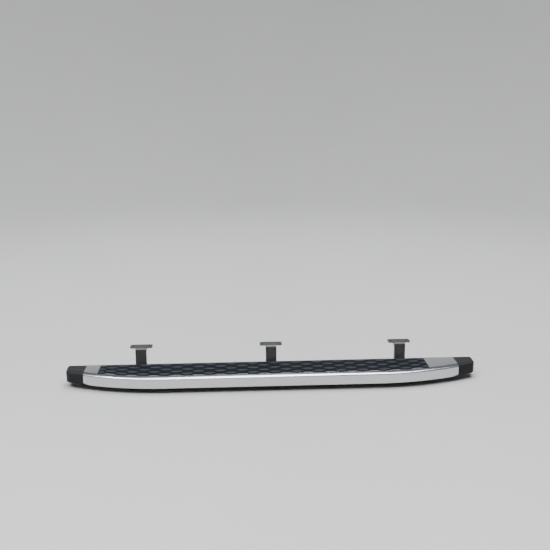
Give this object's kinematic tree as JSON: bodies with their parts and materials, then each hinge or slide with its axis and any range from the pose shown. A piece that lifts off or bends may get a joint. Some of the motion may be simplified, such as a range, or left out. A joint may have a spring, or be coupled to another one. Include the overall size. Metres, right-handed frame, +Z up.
{
  "type": "running board",
  "caption": "Vehicle side running board: silver-skinned aluminium beam with a rubber tread, moulded end caps and sliding sill brackets.",
  "frame": {"origin": "centre of the bounding box in plan, at the height of the brackets' feet", "axes": "+X along the board towards the vehicle's rear (right in the picture), -Y outboard towards the viewer, +Y inboard to the vehicle, +Z up"},
  "size_m": [1.73, 0.262, 0.134],
  "materials": {
    "silver_skin": "satin anodised, silver",
    "beam_aluminium": "mill finish extrusion",
    "tread_rubber": "matte moulded",
    "cap_plastic": "fine grain, black",
    "former_plastic": "moulded, black",
    "cover_plastic": "moulded, black",
    "bracket_steel": "satin black powder coat",
    "isolator_rubber": "matte sheet",
    "zinc": "bright zinc plate",
    "rivet_aluminium": "plain"
  },
  "bodies": {
    "board": {"core_beam": "beam_aluminium", "step_skin": "silver_skin", "tread_mat": "tread_rubber", "nose_formers": "former_plastic", "underside_cover": "cover_plastic", "cover_screws": "zinc", "skin_rivets": "rivet_aluminium", "end_cap_front": "cap_plastic", "end_cap_rear": "cap_plastic", "cap_screws_front": "zinc", "cap_screws_rear": "zinc"},
    "clamps_front": {"t_bolts_front": "zinc", "washers_front": "zinc", "nuts_front": "zinc"},
    "arm_front": {"bracket_front": "bracket_steel", "isolator_front": "isolator_rubber"},
    "clamps_middle": {"t_bolts_middle": "zinc", "washers_middle": "zinc", "nuts_middle": "zinc"},
    "arm_middle": {"bracket_middle": "bracket_steel", "isolator_middle": "isolator_rubber"},
    "clamps_rear": {"t_bolts_rear": "zinc", "washers_rear": "zinc", "nuts_rear": "zinc"},
    "arm_rear": {"bracket_rear": "bracket_steel", "isolator_rear": "isolator_rubber"}
  },
  "joints": [
    {"name": "slot_slide_front", "type": "slide", "parent": "board", "child": "clamps_front", "axis": [1, 0, 0], "range_m": [-0.04, 0.04]},
    {"name": "reach_slide_front", "type": "slide", "parent": "clamps_front", "child": "arm_front", "axis": [0, 1, 0], "range_m": [-0.008, 0.008]},
    {"name": "slot_slide_middle", "type": "slide", "parent": "board", "child": "clamps_middle", "axis": [1, 0, 0], "range_m": [-0.04, 0.04]},
    {"name": "reach_slide_middle", "type": "slide", "parent": "clamps_middle", "child": "arm_middle", "axis": [0, 1, 0], "range_m": [-0.008, 0.008]},
    {"name": "slot_slide_rear", "type": "slide", "parent": "board", "child": "clamps_rear", "axis": [1, 0, 0], "range_m": [-0.04, 0.04]},
    {"name": "reach_slide_rear", "type": "slide", "parent": "clamps_rear", "child": "arm_rear", "axis": [0, 1, 0], "range_m": [-0.008, 0.008]}
  ]
}
